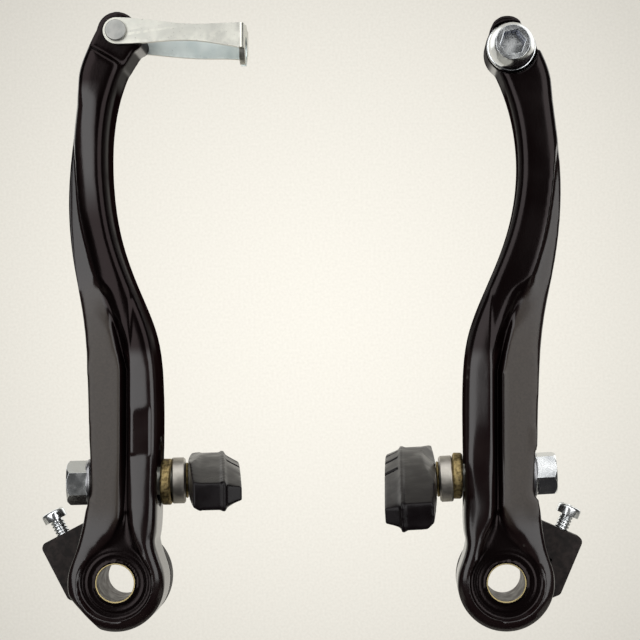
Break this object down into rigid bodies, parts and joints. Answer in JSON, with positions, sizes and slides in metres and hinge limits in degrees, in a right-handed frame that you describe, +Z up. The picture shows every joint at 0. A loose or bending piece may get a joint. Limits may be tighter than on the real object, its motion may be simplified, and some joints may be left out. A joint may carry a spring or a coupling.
{
  "type": "linear-pull bicycle brake",
  "caption": "Rim brake arms that turn on brass-lined pivot bores, with rubber pads on threaded studs, a folded cable guide bracket and a cable anchor bolt.",
  "frame": {"origin": "midway between the two pivot axes, in the plane of the frame bosses' shoulders", "axes": "+Z up along the arms, -Y forwards to the viewer of the picture, +X towards the arm with the anchor bolt"},
  "size_m": [0.1206, 0.0625, 0.1345],
  "materials": {
    "black_lacquer": "black gloss lacquer over cast aluminium",
    "yellow_brass": "drawn, dull",
    "black_plastic": "moulded, satin",
    "pad_rubber": "moulded, matte",
    "zinc_plate": "bright zinc plate",
    "yellow_zinc": "yellow zinc plate, rough",
    "spring_steel": "drawn wire"
  },
  "bodies": {
    "fixed_pieces": {"left_pivot_sleeve": "yellow_brass", "left_spring_cover": "black_plastic", "left_locating_pin": "zinc_plate", "left_return_spring": "spring_steel", "right_pivot_sleeve": "yellow_brass", "right_spring_cover": "black_plastic", "right_locating_pin": "zinc_plate", "right_return_spring": "spring_steel"},
    "left_arm_body": {"left_arm": "black_lacquer", "left_brake_pad": "pad_rubber", "left_pad_stud": "zinc_plate", "left_inner_washer": "yellow_zinc", "left_cup_washer": "zinc_plate", "left_gold_washer": "yellow_zinc", "left_outer_washer": "yellow_zinc", "left_pad_nut": "zinc_plate"},
    "right_arm_body": {"right_arm": "black_lacquer", "right_brake_pad": "pad_rubber", "right_pad_stud": "zinc_plate", "right_inner_washer": "yellow_zinc", "right_cup_washer": "zinc_plate", "right_gold_washer": "yellow_zinc", "right_outer_washer": "yellow_zinc", "right_pad_nut": "zinc_plate", "anchor_bolt": "zinc_plate", "anchor_washer": "zinc_plate"},
    "link_body": {"cable_link": "zinc_plate", "link_rivet": "zinc_plate"},
    "left_screw_body": {"left_tension_screw": "zinc_plate"},
    "right_screw_body": {"right_tension_screw": "zinc_plate"}
  },
  "joints": [
    {"name": "left_arm_pivot", "type": "hinge", "parent": "fixed_pieces", "child": "left_arm_body", "pos_m": [-0.0423, 0, 0], "axis": [0, -1, 0], "range_deg": [-11, 20], "stiffness_Nm_per_rad": 1.5},
    {"name": "right_arm_pivot", "type": "hinge", "parent": "fixed_pieces", "child": "right_arm_body", "pos_m": [0.0423, 0, 0], "axis": [0, 1, 0], "range_deg": [-11, 20], "stiffness_Nm_per_rad": 1.5},
    {"name": "link_pivot", "type": "hinge", "parent": "left_arm_body", "child": "link_body", "pos_m": [-0.0422, 0, 0.1195], "axis": [0, -1, 0], "range_deg": [-45, 95]},
    {"name": "left_screw_travel", "type": "slide", "parent": "fixed_pieces", "child": "left_screw_body", "axis": [-0.4633, 0, 0.8862], "range_m": [-0.0025, 0.002], "deforming": ["left_return_spring"]},
    {"name": "right_screw_travel", "type": "slide", "parent": "fixed_pieces", "child": "right_screw_body", "axis": [0.3923, 0, 0.9198], "range_m": [-0.0025, 0.002], "deforming": ["right_return_spring"]}
  ]
}
